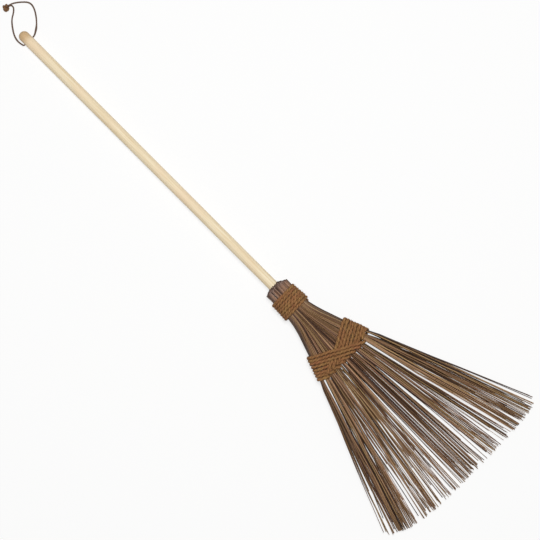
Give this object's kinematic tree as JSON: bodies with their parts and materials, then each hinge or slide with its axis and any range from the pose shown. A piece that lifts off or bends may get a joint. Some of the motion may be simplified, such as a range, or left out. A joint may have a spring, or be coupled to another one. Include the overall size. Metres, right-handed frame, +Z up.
{
  "type": "garden broom",
  "caption": "Garden broom: a round wooden handle in a rope-bound bundle of palm ribs, which a crossed rope lashing spreads into a flat fan, with a knotted cord loop to hang it by.",
  "frame": {"origin": "on the floor, under the middle of the broom's box without its hanging loop", "axes": "+X from the handle's domed end to the tips, +Y across the fan, +Z up out of the face that the picture shows"},
  "size_m": [1.4691, 0.4516, 0.0714],
  "materials": {
    "handle_wood": "sanded, unvarnished",
    "ekel_rib": "dry palm leaf rib, natural",
    "coir_rope": "twisted coir, rough",
    "hanging_cord": "twisted cord, matt"
  },
  "bodies": {
    "broom": {"handle": "handle_wood", "binding_rope": "coir_rope", "lashing_rope": "coir_rope", "front_ekels_1": "ekel_rib", "front_ekels_2": "ekel_rib", "front_ekels_3": "ekel_rib", "front_ekels_4": "ekel_rib", "front_ekels_5": "ekel_rib", "front_ekels_6": "ekel_rib", "front_ekels_7": "ekel_rib", "front_ekels_8": "ekel_rib", "front_ekels_9": "ekel_rib", "back_ekels_1": "ekel_rib", "back_ekels_2": "ekel_rib", "back_ekels_3": "ekel_rib", "back_ekels_4": "ekel_rib", "back_ekels_5": "ekel_rib", "back_ekels_6": "ekel_rib", "back_ekels_7": "ekel_rib", "back_ekels_8": "ekel_rib", "back_ekels_9": "ekel_rib"},
    "hanging_loop": {"hanging_cord": "hanging_cord", "cord_knot": "hanging_cord"}
  },
  "joints": [
    {"name": "loop_swing", "type": "hinge", "parent": "broom", "child": "hanging_loop", "pos_m": [-0.67301, 0, 0.01241], "axis": [0, 1, 0], "range_deg": [-150, 165]}
  ]
}
